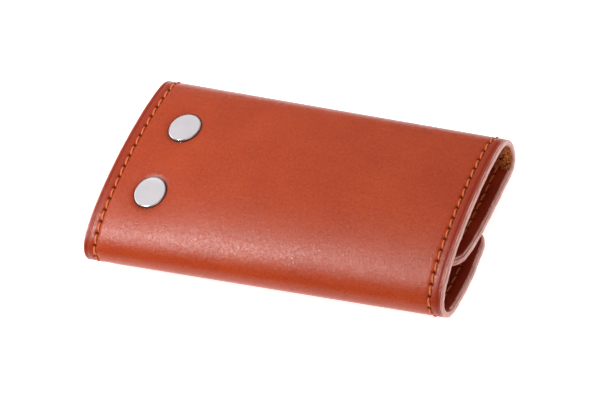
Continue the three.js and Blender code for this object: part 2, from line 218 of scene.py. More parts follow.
def sheet_sag(run, x):
    """How far the leather itself lies in or out: slow waves, and hollows round the rivets."""
    waves = 0.10 * np.sin(0.055 * x + 0.9) * np.sin(0.085 * run + 0.4)
    waves += 0.05 * np.sin(0.13 * x - 0.11 * run + 2.0)
    on_front = smoothstep(run, RUN_FRONT, RUN_FRONT + 8) * (
        1 - smoothstep(run, RUN_FRONT_END - 8, RUN_FRONT_END)
    )
    sag = waves * on_front
    for centre_run, centre_x in RIVET_RUNS:
        away = np.hypot(run - centre_run, x - centre_x)
        sag = sag + hollow(away, RIVET_PULL)
    return sag


def surface(run, x, depth, sagging=True):
    """Points of the sheet at a run along the cover line, an x and a depth under the outer face."""
    run, x, depth = np.broadcast_arrays(
        np.asarray(run, float), np.asarray(x, float), np.asarray(depth, float)
    )
    if sagging:
        depth = depth + sheet_sag(run, x)
    y = np.interp(run, LINE_RUN, LINE_AT[:, 0])
    z = np.interp(run, LINE_RUN, LINE_AT[:, 1])
    out_y = np.interp(run, LINE_RUN, LINE_OUT[:, 0])
    out_z = np.interp(run, LINE_RUN, LINE_OUT[:, 1])
    size = np.hypot(out_y, out_z)
    y = y - out_y / size * depth
    z = z - out_z / size * depth
    across = smoothstep(PRESS_FROM_Y - y, 0, PRESS_FROM_Y - PRESS_TO_Y)
    towards_end = np.clip((x - PRESS_END_X) / (HALF - PRESS_END_X), 0, 1)
    pressed = PRESS_DEPTH * across * (1 - towards_end**2)
    z = z - np.where(run > RUN_INNER_FOLD - PRESS_MARGIN, pressed, 0)
    return np.stack([x, y * (1 - TAPER * x), z + TWIST * x * (y - TWIST_Y)], -1)


def places(points, first, last):
    """The (run, x) of points given as (x, y), between two runs along which Y grows."""
    runs = np.linspace(first, last, 400)
    return [
        (float(np.interp(y, surface(runs, x, 0, sagging=False)[:, 1], runs)), x) for x, y in points
    ]


RIVET_RUNS = places(RIVETS.values(), RUN_FRONT, RUN_FRONT_END)
STUD_RUNS = places(STUDS.values(), RUN_OUTER_FOLD, 0)


def half_width(run):
    """Half of the sheet's extent in X, less at the flaps' rounded corners."""
    to_edge = np.minimum(run, RUN_TIP - run)
    in_corner = np.clip(CORNER_RADIUS - to_edge, 0, CORNER_RADIUS)
    return HALF - CORNER_RADIUS + np.sqrt(CORNER_RADIUS**2 - in_corner**2)


def border_distance(run, x):
    """Distance to the sheet's border, round the corners too."""
    to_edge = np.minimum(run, RUN_TIP - run)
    to_end = HALF - np.abs(x)
    corner = (to_edge < CORNER_RADIUS) & (to_end < CORNER_RADIUS)
    round_corner = CORNER_RADIUS - np.hypot(CORNER_RADIUS - to_edge, CORNER_RADIUS - to_end)
    return np.where(corner, round_corner, np.minimum(to_edge, to_end))


# ---- stitch holes, on one line round the whole sheet ----
def seam_holes():
    """The (run, x) of each needle hole, evenly spaced; the last one meets the first."""
    radius = CORNER_RADIUS - SEAM_INSET
    straight_x = HALF - CORNER_RADIUS
    low, high = SEAM_INSET + radius, RUN_TIP - SEAM_INSET - radius
    turn = np.linspace(0, np.pi / 2, 12)
    corners = [
        (low, -straight_x, -np.pi / 2),
        (low, straight_x, np.pi),
        (high, straight_x, np.pi / 2),
        (high, -straight_x, 0),
    ]
    path = []
    for run, x, first in corners:
        angle = first - turn
        path.append(np.stack([run + radius * np.cos(angle), x + radius * np.sin(angle)], -1))
    path = np.concatenate([*path, path[0][:1]])
    travelled = np.concatenate([[0], np.cumsum(np.linalg.norm(np.diff(path, axis=0), axis=1))])
    count = round(travelled[-1] / STITCH)
    where = np.linspace(0, travelled[-1], count + 1)
    return np.stack([np.interp(where, travelled, path[:, k]) for k in (0, 1)], -1)


HOLES = seam_holes()[:-1]


def hole_depth(run, x):
    """From 0 to 1, how deep a place lies in a needle hole."""
    depth = np.zeros(np.broadcast(run, x).shape)
    for hole_run, hole_x in HOLES:
        rows = np.abs(run[:, 0] - hole_run) < HOLE_REACH
        if rows.any():
            away = np.hypot(run[rows] - hole_run, x[rows] - hole_x)
            depth[rows] = np.maximum(depth[rows], hollow(away, (1, HOLE_RADIUS)))
    return depth


def outer_relief(run, x):
    """How far the tooled and sewn outer face lies under the plain one."""
    border = border_distance(run, x)
    relief = hollow(border - CREASE_INSET, CREASE_LINE)
    relief += hollow(border - SEAM_INSET, SEAM_GROOVE)
    relief += OUTER_HOLE_DEPTH * hole_depth(run, x)
    for centre_run, centre_x in RIVET_RUNS:
        away = np.hypot(run - centre_run, x - centre_x)
        relief += seat(away, RIVET_SEAT)
    for centre_run, centre_x in STUD_RUNS:
        away = np.hypot(run - centre_run, x - centre_x)
        relief += seat(away, STUD_SEAT)
    return relief


def inner_relief(run, x):
    """The same for the inner face, which has only the seam."""
    groove = hollow(border_distance(run, x) - SEAM_INSET, INNER_SEAM_GROOVE)
    return groove + INNER_HOLE_DEPTH * hole_depth(run, x)


# ---- meshes ----
def add_mesh(name, vertices, faces, materials, normals=None, face_material=None, values=None):
    mesh = bpy.data.meshes.new(name)
    mesh.from_pydata((np.asarray(vertices) * MM).tolist(), [], faces)
    mesh.polygons.foreach_set("use_smooth", np.ones(len(mesh.polygons), bool))
    for material in materials:
        mesh.materials.append(material)
    if face_material is not None:
        mesh.polygons.foreach_set("material_index", np.asarray(face_material, np.int32))
    for key, value in (values or {}).items():
        value = np.asarray(value, np.float32)
        kind = "FLOAT_VECTOR" if value.ndim == 2 else "FLOAT"
        attribute = mesh.attributes.new(key, kind, "POINT")
        attribute.data.foreach_set("vector" if value.ndim == 2 else "value", value.ravel())
    if normals is not None:
        mesh.normals_split_custom_set_from_vertices(np.asarray(normals).tolist())
    mesh.validate()
    piece = bpy.data.objects.new(name, mesh)
    bpy.context.scene.collection.objects.link(piece)
    return piece


SEWN_FROM = 53.0  # the seams at both ends lie beyond this |x|, and get the finest columns


def columns(outer):
    """X of a sheet's columns. The outer face has finer ones round the rivets."""
    ends = np.arange(SEWN_FROM, HALF - EDGE_ROUND, 0.27)
    if outer:
        middle = np.concatenate([np.arange(-52.5, -32.5, 0.6), np.arange(-32.0, SEWN_FROM, 1.2)])
    else:
        middle = np.arange(-52.2, SEWN_FROM, 1.4)
    return np.concatenate([-ends[::-1], middle, ends])


def squeezed(x, run):
    """Columns drawn in to follow the rounded corners."""
    start = HALF - 2 * CORNER_RADIUS
    reach = (half_width(run) - start) / (HALF - start)
    return np.where(np.abs(x) > start, np.sign(x) * (start + (np.abs(x) - start) * reach), x)


# Which face a point of a sheet lies on, and so which of the sheet's materials it takes
OUTER_FACE, CUT_EDGE, INNER_FACE = range(3)


def slab(runs, top, bottom, top_relief, bottom_relief, inset=0.0):
    """A sheet between two depths, as a tube of rows with rounded edges.
    Gives its points and normals, each point as (x, run, depth), and the face it lies on."""
    steps = np.linspace(0, np.pi / 2, 5)
    drawn_in = EDGE_ROUND * (1 - np.cos(steps))
    thinned = EDGE_ROUND * (1 - np.sin(steps))
    rows = list(zip(runs[0] + drawn_in, thinned))
    rows += [(run, 0.0) for run in runs if runs[0] + EDGE_ROUND < run < runs[-1] - EDGE_ROUND]
    rows += list(zip(runs[-1] - drawn_in[::-1], thinned[::-1]))
    run = np.array([r[0] for r in rows])[:, None]
    shrink = np.array([r[1] for r in rows])[:, None]
    limit = half_width(run) - inset
    above = squeezed(columns(True)[None, :], run)
    below = squeezed(columns(False)[None, ::-1], run)
    top_depth = top + shrink + top_relief(run, above)
    bottom_depth = bottom - shrink - bottom_relief(run, below)
    corner = np.minimum(EDGE_ROUND, 0.45 * (bottom - top - 2 * shrink))

    def side(sign, face_x, from_depth, to_depth):
        """The points round one cut edge, between the two faces."""
        arc = np.radians([22, 45, 68, 90])[None, :]
        out = (limit - np.abs(face_x)) * sign
        high = np.minimum(from_depth, to_depth)
        low = np.maximum(from_depth, to_depth)
        first_x = face_x + out * np.sin(arc)
        first_depth = high + corner * (1 - np.cos(arc))
        last_depth = low - corner * (1 - np.cos(arc))
        middle = (high + low) / 2
        x = np.concatenate([first_x, face_x + out, first_x[:, ::-1]], 1)
        depth = np.concatenate([first_depth, middle, last_depth[:, ::-1]], 1)
        wobble = 0.05 * np.sin(0.9 * run + sign) + 0.03 * np.sin(2.3 * run + 2 * sign)
        bulge = np.sin(np.linspace(0, np.pi, x.shape[1]))[None, :]
        return x + sign * (EDGE_BULGE + wobble) * bulge, depth

    right_x, right_depth = side(1, above[:, -1:], top_depth[:, -1:], bottom_depth[:, :1])
    left_x, left_depth = side(-1, above[:, :1], top_depth[:, :1], bottom_depth[:, -1:])
    left_x, left_depth = left_x[:, ::-1], left_depth[:, ::-1]
    x = np.concatenate([above, right_x, below, left_x], 1)
    depth = np.concatenate([top_depth, right_depth, bottom_depth, left_depth], 1)
    sides = ((OUTER_FACE, above), (CUT_EDGE, right_x), (INNER_FACE, below), (CUT_EDGE, left_x))
    kind = np.concatenate([np.full(part.shape[1], face) for face, part in sides])
    points = surface(run, x, depth)
    along = np.gradient(points, axis=0)
    around = (np.roll(points, -1, 1) - np.roll(points, 1, 1)) / 2
    normals = np.cross(around, along)
    normals /= np.maximum(np.linalg.norm(normals, axis=2, keepdims=True), 1e-9)
    outward = points - surface(run, x, depth + 0.5)
    middle_column = above.shape[1] // 2
    if (normals[:, middle_column] * outward[:, middle_column]).sum() < 0:
        normals = -normals
    flat = np.stack(np.broadcast_arrays(x, run, depth), -1)
    return {"points": points, "normals": normals, "flat": flat, "kind": kind, "run": run[:, 0]}


def strip(upper, lower, x):
    """Triangles between two chains of points that both run along X."""
    faces = []
    i = j = 0
    while i < len(upper) - 1 or j < len(lower) - 1:
        ahead = i < len(upper) - 1 and (
            j == len(lower) - 1 or x[upper[i + 1]] <= x[lower[j + 1]]
        )
        if ahead:
            faces.append([upper[i], lower[j], upper[i + 1]])
            i += 1
        else:
            faces.append([upper[i], lower[j], lower[j + 1]])
            j += 1
    return faces


def end_cap(kind, x, first, flip):
    """Closes one end of a slab's tube. The tube goes along the top, round an edge and back below."""
    n = len(kind)
    top = np.where(kind == OUTER_FACE)[0]
    below = np.where(kind == INNER_FACE)[0]
    rim = (below[0] - top[-1] - 1) // 2
    upper = [*range(n - rim, n), *top, *range(top[-1] + 1, top[-1] + 1 + rim)]
    lower = list(range(below[0] - rim - 1, n - rim))[::-1]
    triangles = strip([first + k for k in upper], [first + k for k in lower], x)
    return [t[::-1] for t in triangles] if flip else triangles


def slab_piece(name, grid, first_run, last_run, materials):
    """One piece of a slab, between two of its rows, closed at both."""
    rows = np.where((grid["run"] >= first_run - 1e-6) & (grid["run"] <= last_run + 1e-6))[0]
    points = grid["points"][rows]
    normals = grid["normals"][rows]
    flat = grid["flat"][rows]
    kind = grid["kind"]
    n_rows, n_around = points.shape[:2]
    i = np.arange(n_rows - 1)[:, None]
    j = np.arange(n_around)[None, :]
    k = (j + 1) % n_around
    a, b, c, d = i * n_around + j, i * n_around + k, (i + 1) * n_around + k, (i + 1) * n_around + j
    quads = np.stack([a, d, c, b], -1).reshape(-1, 4)
    kinds = np.where(kind == kind[k[0]], kind, CUT_EDGE)
    face_material = np.tile(kinds, n_rows - 1)
    all_x = flat[..., 0].ravel()
    last = (n_rows - 1) * n_around
    caps = end_cap(kind, all_x, 0, False) + end_cap(kind, all_x, last, True)
    # One face in the middle of the outer side tells which way round they all go.
    sample = quads[n_around // 5]
    test = points.reshape(-1, 3)[sample]
    facing = np.cross(test[1] - test[0], test[2] - test[0])
    if facing @ normals.reshape(-1, 3)[sample[0]] < 0:
        quads = quads[:, ::-1]
        caps = [cap[::-1] for cap in caps]
    faces = quads.tolist() + caps
    run, x = flat[..., 1], flat[..., 0]
    border = border_distance(run, x)
    rivet, stud = (
        np.min([np.hypot(run - r, x - c) for r, c in centres], axis=0)
        for centres in (RIVET_RUNS, STUD_RUNS)
    )
    values = {
        "flat": flat.reshape(-1, 3),
        "border": border.ravel(),
        "metal": np.minimum(rivet, stud - STUD_CAP_LARGER).ravel(),
        "hole": hole_depth(run, x).ravel(),
    }
    return add_mesh(
        name,
        points.reshape(-1, 3),
        faces,
        materials,
        normals.reshape(-1, 3),
        np.concatenate([face_material, np.full(len(caps), CUT_EDGE)]),
        values,
    )


# ---- materials ----
class Nodes:
    """A short way to write a node tree."""

    def __init__(self, name):
        self.material = bpy.data.materials.new(name)
        self.material.use_nodes = True
        self.tree = self.material.node_tree
        self.tree.nodes.clear()
        self.output = self.tree.nodes.new("ShaderNodeOutputMaterial")
        self.shader = self.tree.nodes.new("ShaderNodeBsdfPrincipled")
        self.link(self.shader.outputs["BSDF"], self.output.inputs["Surface"])

    def link(self, source, target):
        self.tree.links.new(source, target)

    def put(self, target, value):
        if isinstance(value, bpy.types.NodeSocket):
            self.link(value, target)
        else:
            target.default_value = value

    def attribute(self, name, output="Fac"):
        node = self.tree.nodes.new("ShaderNodeAttribute")
        node.attribute_name = name
        return node.outputs[output]

    def place(self):
        """Object coordinates in metres, for pieces that keep their shape."""
        return self.tree.nodes.new("ShaderNodeTexCoord").outputs["Object"]

    def scaled(self, vector, scale):
        node = self.tree.nodes.new("ShaderNodeVectorMath")
        node.operation = "MULTIPLY"
        self.put(node.inputs[0], vector)
        node.inputs[1].default_value = scale
        return node.outputs[0]

    def noise(self, vector, scale, detail=3.0, roughness=0.5, distortion=0.0):
        node = self.tree.nodes.new("ShaderNodeTexNoise")
        self.put(node.inputs["Vector"], vector)
        node.inputs["Scale"].default_value = scale
        node.inputs["Detail"].default_value = detail
        node.inputs["Roughness"].default_value = roughness
        node.inputs["Distortion"].default_value = distortion
        return node.outputs["Fac"]

    def cells(self, vector, scale, feature="DISTANCE_TO_EDGE"):
        node = self.tree.nodes.new("ShaderNodeTexVoronoi")
        node.feature = feature
        self.put(node.inputs["Vector"], vector)
        node.inputs["Scale"].default_value = scale
        return node.outputs["Distance"]

    def remap(self, value, low, high, to_low=0.0, to_high=1.0, smooth=False):
        node = self.tree.nodes.new("ShaderNodeMapRange")
        node.interpolation_type = "SMOOTHSTEP" if smooth else "LINEAR"
        self.put(node.inputs["Value"], value)
        node.inputs["From Min"].default_value = low
        node.inputs["From Max"].default_value = high
        node.inputs["To Min"].default_value = to_low
        node.inputs["To Max"].default_value = to_high
        return node.outputs["Result"]

    def math(self, operation, a, b=0.0):
        node = self.tree.nodes.new("ShaderNodeMath")
        node.operation = operation
        self.put(node.inputs[0], a)
        self.put(node.inputs[1], b)
        return node.outputs[0]

    def mix(self, factor, a, b):
        node = self.tree.nodes.new("ShaderNodeMix")
        node.data_type = "RGBA"
        self.put(node.inputs["Factor"], factor)
        for socket, value in zip((node.inputs[6], node.inputs[7]), (a, b)):
            self.put(socket, (*value, 1.0) if isinstance(value, tuple) else value)
        return node.outputs[2]

    def bump(self, height, strength, distance, before=None):
        node = self.tree.nodes.new("ShaderNodeBump")
        node.inputs["Strength"].default_value = strength
        node.inputs["Distance"].default_value = distance
        self.put(node.inputs["Height"], height)
        if before is not None:
            self.link(before, node.inputs["Normal"])
        return node.outputs["Normal"]

    def set(self, name, value):
        self.put(self.shader.inputs[name], value)


GRAIN = (0.39, 0.043, 0.007)  # linear colours of the cover's tanned face
GRAIN_LIGHT = (0.48, 0.066, 0.012)
GRAIN_DARK = (0.25, 0.018, 0.004)
GRAIN_RED = (0.335, 0.03, 0.005)


def grain_leather():
    """Smooth waxed leather: cloudy colour, fine pores, a darker band along the edges, and painted
    shade in the needle holes and round the metal.
    """
    n = Nodes("cover_grain")
    flat = n.attribute("flat", "Vector")
    border = n.attribute("border")
    clouds = n.noise(flat, 0.045, 4, 0.55, 0.6)
    mottle = n.noise(flat, 0.9, 5, 0.65)
    pores = n.noise(flat, 3.2, 3, 0.6)
    streaks = n.noise(n.scaled(flat, (0.05, 0.6, 0.3)), 0.5, 3, 0.5)
    colour = n.mix(n.remap(clouds, 0.3, 0.72), GRAIN_RED, GRAIN_LIGHT)
    colour = n.mix(0.35, colour, GRAIN)
    colour = n.mix(n.remap(mottle, 0.35, 0.65, 0, 0.6), colour, GRAIN_LIGHT)
    colour = n.mix(n.remap(pores, 0.52, 0.75, 0, 0.28), colour, GRAIN_DARK)
    colour = n.mix(n.remap(streaks, 0.5, 0.8, 0, 0.22), colour, GRAIN_RED)
    rim = n.math("MULTIPLY", n.remap(border, 4.6, 2.6, 0, 1, True), 0.55)
    colour = n.mix(rim, colour, GRAIN_DARK)
    crease = n.math("SUBTRACT", border, CREASE_INSET)
    crease = n.remap(n.math("ABSOLUTE", crease), 0.0, 0.45, 0.7, 0)
    colour = n.mix(crease, colour, (0.13, 0.012, 0.006))
    speckle = n.noise(flat, 1.5, 4, 0.7)
    colour = n.mix(n.remap(speckle, 0.4, 0.64, 0, 0.55), colour, GRAIN_DARK)
    metal = n.attribute("metal")
    # Painted shade round the metal caps: a soft darkening over their dented seats, and a thin painted
    # shadow just outside their rims.
    colour = n.mix(n.remap(metal, 5.0, 8.5, 0.3, 0, True), colour, GRAIN_DARK)
    colour = n.mix(n.remap(metal, 5.15, 5.7, 0.85, 0), colour, (0.05, 0.008, 0.005))
    # Painted shade in the needle holes: the grain is darkened to near black there.
    colour = n.mix(n.remap(n.attribute("hole"), 0.15, 0.6, 0, 0.94), colour, (0.075, 0.011, 0.004))
    n.set("Base Color", colour)
    rough = n.remap(n.noise(flat, 0.16, 4, 0.6), 0.3, 0.7, 0.26, 0.31)
    rough = n.math("ADD", rough, n.remap(pores, 0.45, 0.8, 0, 0.07))
    n.set("Roughness", rough)
    n.set("Specular IOR Level", n.remap(n.attribute("hole"), 0.1, 0.5, 0.26, 0.04))
    fine = n.cells(n.scaled(flat, (1.0, 1.15, 1.0)), 2.1)
    fine = n.remap(fine, 0.0, 0.16)
    height = n.math("MULTIPLY", fine, n.remap(mottle, 0.3, 0.7, 0.25, 1.0))
    height = n.math("ADD", height, n.math("MULTIPLY", pores, 0.9))
    soft = n.bump(n.noise(flat, 0.45, 4, 0.6), 0.35, 0.0001)
    n.set("Normal", n.bump(height, 0.3, 0.00008, soft))
    return n.material


def cut_edge():
    """The waxed cut edge, layered and a little fibrous."""
    n = Nodes("cover_cut_edge")
    flat = n.attribute("flat", "Vector")
    layers = n.noise(n.scaled(flat, (0.4, 0.12, 2.6)), 1.4, 4, 0.6)
    fibres = n.noise(flat, 2.4, 4, 0.65)
    # The pale pink is partly the edge's own waxed colour and partly a painted reflection of the bright
    # floor.
    colour = n.mix(n.remap(layers, 0.35, 0.7), (0.42, 0.12, 0.09), (0.82, 0.45, 0.39))
    colour = n.mix(n.remap(fibres, 0.5, 0.75, 0, 0.4), colour, (0.3, 0.06, 0.035))
    n.set("Base Color", colour)
    n.set("Roughness", n.remap(fibres, 0.3, 0.7, 0.24, 0.42))
    n.set("Coat Weight", 0.55)
    n.set("Coat Roughness", 0.22)
    n.set("Normal", n.bump(n.math("ADD", layers, n.math("MULTIPLY", fibres, 0.5)), 0.4, 0.00006))
    return n.material


def flesh_side():
    """The rough, mottled back of the leather."""
    n = Nodes("cover_flesh_side")
    flat = n.attribute("flat", "Vector")
    patches = n.noise(flat, 0.5, 4, 0.65, 0.8)
    fibres = n.noise(n.scaled(flat, (1.0, 1.6, 1.0)), 1.15, 4, 0.7, 1.2)
    specks = n.cells(flat, 1.5, "F1")
    colour = n.mix(n.remap(patches, 0.35, 0.65), (0.13, 0.022, 0.006), (0.75, 0.15, 0.035))
    colour = n.mix(n.remap(fibres, 0.5, 0.58, 0, 1), colour, (1.0, 0.47, 0.17))
    colour = n.mix(n.remap(specks, 0.0, 0.32, 0.85, 0), colour, (0.04, 0.011, 0.005))
    # Painted shade in the needle holes.
    colour = n.mix(n.remap(n.attribute("hole"), 0.15, 0.6, 0, 0.9), colour, (0.02, 0.006, 0.004))
    n.set("Base Color", colour)
    n.set("Roughness", n.remap(fibres, 0.3, 0.7, 0.82, 0.97))
    n.set("Specular IOR Level", 0.2)
    coarse = n.bump(patches, 0.7, 0.0003)
    n.set("Normal", n.bump(n.math("SUBTRACT", fibres, specks), 0.8, 0.00022, coarse))
    return n.material


def lining_leather():
    """Matt dark red-brown lining, with a fine printed grain."""
    n = Nodes("lining_grain")
    flat = n.attribute("flat", "Vector")
    clouds = n.noise(flat, 0.09, 4, 0.6, 0.4)
    grain = n.cells(flat, 1.9)
    pores = n.noise(flat, 3.0, 3, 0.6)
    colour = n.mix(n.remap(clouds, 0.3, 0.7), (0.24, 0.018, 0.005), (0.4, 0.038, 0.011))
    colour = n.mix(n.remap(pores, 0.5, 0.78, 0, 0.4), colour, (0.09, 0.007, 0.003))
    colour = n.mix(n.remap(n.attribute("border"), 3.2, 0.6, 0, 0.35, True), colour, (0.34, 0.05, 0.02))
    # Painted shade in the needle holes.
    colour = n.mix(n.remap(n.attribute("hole"), 0.3, 0.8, 0, 0.6), colour, (0.02, 0.004, 0.002))
    n.set("Base Color", colour)
    n.set("Roughness", n.remap(clouds, 0.3, 0.7, 0.46, 0.6))
    n.set("Specular IOR Level", 0.35)
    height = n.math("ADD", n.remap(grain, 0, 0.2), n.math("MULTIPLY", pores, 0.6))
    n.set("Normal", n.bump(height, 0.4, 0.00005))
    return n.material


def lining_edge():
    n = Nodes("lining_cut_edge")
    flat = n.attribute("flat", "Vector")
    fibres = n.noise(n.scaled(flat, (1.0, 0.5, 2.0)), 2.0, 4, 0.65)
    n.set("Base Color", n.mix(n.remap(fibres, 0.35, 0.7), (0.36, 0.09, 0.06), (0.72, 0.36, 0.3)))
    n.set("Roughness", n.remap(fibres, 0.3, 0.7, 0.26, 0.45))
    n.set("Coat Weight", 0.5)
    n.set("Coat Roughness", 0.25)
    n.set("Normal", n.bump(fibres, 0.4, 0.00005))
    return n.material


def thread_material(name, light, dark):
    """Waxed thread: fine fibres along its twist, and painted shade where it dives into the holes."""
    n = Nodes(name)
    along = n.attribute("thread", "Vector")
    fibres = n.noise(n.scaled(along, (1.0, 1.6, 1.6)), 3.0, 4, 0.6)
    uneven = n.noise(n.attribute("flat", "Vector"), 0.5, 3, 0.5)
    colour = n.mix(n.remap(fibres, 0.3, 0.7), dark, light)
    colour = n.mix(n.remap(uneven, 0.4, 0.7, 0, 0.3), colour, dark)
    dive = n.attribute("dive")
    # Painted shade towards both ends of each stitch, where the thread dives into the holes.
    colour = n.mix(n.remap(dive, 0.35, 1.0, 0, 0.85), colour, (0.03, 0.006, 0.003))
    n.set("Base Color", colour)
    n.set("Roughness", n.remap(fibres, 0.3, 0.7, 0.5, 0.68))
    n.set("Specular IOR Level", 0.4)
    n.set("Normal", n.bump(fibres, 0.5, 0.00005))
    return n.material


def metal_material(name, colour, rough_low, rough_high, brushed=(1.0, 1.0, 1.0)):
    """Plated metal: brushing, small scratches and a film of handling."""
    n = Nodes(name)
    place = n.place()
    film = n.noise(place, 160, 4, 0.6, 0.4)
    brushing = n.noise(n.scaled(place, brushed), 2400, 3, 0.6)
    scratches = n.noise(n.scaled(place, (1.0, 7.0, 1.0)), 900, 2, 0.5, 0.3)
    dull = tuple(0.74 * c for c in colour)
    tint = n.mix(n.remap(film, 0.35, 0.7, 0, 0.35), colour, dull)
    n.set("Base Color", n.mix(n.remap(scratches, 0.62, 0.72, 0, 0.25), tint, dull))
    n.set("Metallic", 1.0)
    rough = n.remap(film, 0.3, 0.7, rough_low, rough_high)
    n.set("Roughness", n.math("ADD", rough, n.remap(brushing, 0.4, 0.8, 0, 0.03)))
    soft = n.bump(film, 0.25, 0.00003)
    n.set("Normal", n.bump(n.math("ADD", brushing, scratches), 0.18, 0.000012, soft))
    return n.material


MATERIALS = {
    "grain": grain_leather(),
    "edge": cut_edge(),
    "flesh": flesh_side(),
    "lining": lining_leather(),
    "lining_edge": lining_edge(),
    "thread": thread_material("thread_outside", (0.8, 0.2, 0.055), (0.55, 0.11, 0.026)),
    "inner_thread": thread_material("thread_inside", (0.62, 0.19, 0.05), (0.36, 0.08, 0.02)),
    "nickel": metal_material("satin_nickel", (0.8, 0.76, 0.79), 0.1, 0.14),
    "steel": metal_material("plated_steel", (0.62, 0.61, 0.6), 0.24, 0.36, (1.0, 0.12, 1.0)),
}

# ---- cover and linings ----
ROW = 0.45  # spacing of a sheet's rows


def rows_between(first, last):
    count = max(2, round((last - first) / ROW))
    return list(np.linspace(first, last, count + 1))


def no_relief(run, x):
    return np.zeros(np.broadcast(run, x).shape)


def leather_bend(a, b, fold, crease_angle, side_of_a):
    """SIDE_OF_A is 1 where the fold's angle is larger on body a, and -1 where it is smaller."""
    reach = side_of_a * BLEND_REACH
    at, _ = on_arc(fold, [crease_angle + reach, crease_angle - reach])
    (y0, z0), (y1, z1) = at
    crease_at, _ = on_arc(fold, crease_angle)
    along = np.array([1.0, -crease_at[0] * TAPER, TWIST * (crease_at[0] - TWIST_Y)])
    across = np.array([0.0, y1 - y0, z1 - z0])
    across[0] = -across @ along
    middle = np.array([0.0, (y0 + y1) / 2, (z0 + z1) / 2])
    return {
        "a": a,
        "b": b,
        "start": tuple((middle - across / 2) * MM),
        "end": tuple((middle + across / 2) * MM),
    }


BENDS = {
    "front_near": leather_bend("front", "near_fold", NEAR, NEAR["upper"], -1),
    "near_outer": leather_bend("near_fold", "outer_flap", NEAR, NEAR["lower"], -1),
    "front_far": leather_bend("front", "far_fold", FAR, FAR["upper"], 1),
    "far_inner": leather_bend("far_fold", "inner_flap", FAR, FAR["lower"], 1),
}


def bend(piece):
    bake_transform(piece)


landmarks = [0.0, RUN_NEAR_MIDDLE, RUN_FRONT_END, RUN_FAR_MIDDLE, RUN_TIP]
cover_runs = [0.0]
for first, last in zip(landmarks, landmarks[1:]):
    cover_runs += rows_between(first, last)[1:]
cover = slab(cover_runs, 0.0, COVER, outer_relief, inner_relief)
cover_materials = [MATERIALS["grain"], MATERIALS["edge"], MATERIALS["flesh"]]
# Each piece by name: its first and last landmark, its bend and the CAD nodes that it replaces
COVER_PIECES = {
    "leather_outer_flap": (0, 1, "near_outer", ["outer_flap"]),
    "leather_front": (1, 2, "front_near", ["front_panel", "near_fold"]),
    "leather_far_fold": (2, 3, "front_far", ["far_fold"]),
    "leather_inner_flap": (3, 4, "far_inner", ["inner_flap"]),
}
for name, (first, last, key, nodes) in COVER_PIECES.items():
    piece = slab_piece(name, cover, landmarks[first], landmarks[last], cover_materials)
    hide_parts(*nodes)
    bend(piece)

lining_materials = [MATERIALS["lining_edge"], MATERIALS["lining_edge"], MATERIALS["lining"]]
# Each lining by name: its first and last run, its bend and the CAD node that it replaces
LININGS = {
    "lining_outer_flap": (0.0, RUN_OUTER_FOLD, "near_outer", "outer_flap_lining"),
    "lining_inner_flap": (RUN_INNER_FOLD, RUN_TIP, "far_inner", "inner_flap_lining"),
}
for name, (first, last, key, node) in LININGS.items():
    grid = slab(
        rows_between(first, last),
        COVER + LINING_GAP,
        COVER + LINING,
        no_relief,
        inner_relief,
        inset=LINING_INSET,
    )
    piece = slab_piece(name, grid, first, last, lining_materials)
    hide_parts(node)
    bend(piece)


# ---- stitches ----
STEPS_ALONG_STITCH = 11
SIDES_OF_THREAD = 8


def stitch_mesh(name, pairs, base, outward, material, sink, height):
    """Separate stitches from hole to hole, on the face at the depth BASE.
    They rise by HEIGHT and dive by SINK. OUTWARD is -1 where depth falls on leaving the face."""
    steps = np.linspace(0, 1, STEPS_ALONG_STITCH)
    turn = np.linspace(0, 2 * np.pi, SIDES_OF_THREAD + 1)[:-1]
    vertices, faces, flats, threads, dives = [], [], [], [], []
    for number, (a, b) in enumerate(pairs):
        a, b = np.array(a), np.array(b)
        along = b - a
        side = np.array([-along[1], along[0]]) / np.linalg.norm(along)
        slant = SLANT * (1 + 0.25 * np.sin(number * 2.4))
        inwards = along * SHORTENED + side * slant
        a, b = a + inwards, b - inwards
        line = a + steps[:, None] * (b - a)
        lift = -sink + (sink + height) * np.sin(np.pi * steps) ** 0.55
        centre = surface(line[:, 0], line[:, 1], base + outward * lift)
        plain = surface(line[:, 0], line[:, 1], base)
        up = surface(line[:, 0], line[:, 1], base + outward * 1.0) - plain
        up /= np.linalg.norm(up, axis=1, keepdims=True)
        travel = np.gradient(centre, axis=0)
        travel /= np.linalg.norm(travel, axis=1, keepdims=True)
        across = np.cross(travel, up)
        across /= np.linalg.norm(across, axis=1, keepdims=True)
        top = np.cross(across, travel)
        fullness = 0.62 + 0.38 * np.sin(np.pi * steps) ** 0.5
        ridge = 1 + 0.09 * np.cos(2 * (turn[None, :] - 2 * np.pi * 1.3 * steps[:, None]))
        wide = (THREAD_HALF_WIDTH * fullness)[:, None] * ridge
        high = (THREAD_HALF_HEIGHT * fullness)[:, None] * ridge
        ring = (
            centre[:, None, :]
            + (wide * np.cos(turn))[..., None] * across[:, None, :]
            + (high * np.sin(turn))[..., None] * top[:, None, :]
        )
        rings = len(vertices) + np.arange(ring[..., 0].size).reshape(ring.shape[:2])
        vertices += list(ring.reshape(-1, 3))
        for here, there in zip(rings, rings[1:]):
            quads = np.stack([here, np.roll(here, -1), np.roll(there, -1), there], -1)
            faces += quads.tolist()
        faces.append(rings[0, ::-1].tolist())
        faces.append(rings[-1].tolist())
        # FLAT differs in its third value, so that no two stitches look the same.
        for i, t in enumerate(steps):
            for angle in turn:
                flats.append([line[i, 1], line[i, 0], number * 0.37])
                threads.append([t * STITCH, np.cos(angle - 8 * t), np.sin(angle - 8 * t)])
                dives.append(abs(2 * t - 1) ** 3)
    return add_mesh(
        name,
        vertices,
        faces,
        [material],
        values={"flat": flats, "thread": threads, "dive": dives},
    )


hole_pairs = list(zip(HOLES, np.roll(HOLES, -1, 0)))


def middle_run(pair):
    return (pair[0][0] + pair[1][0]) / 2


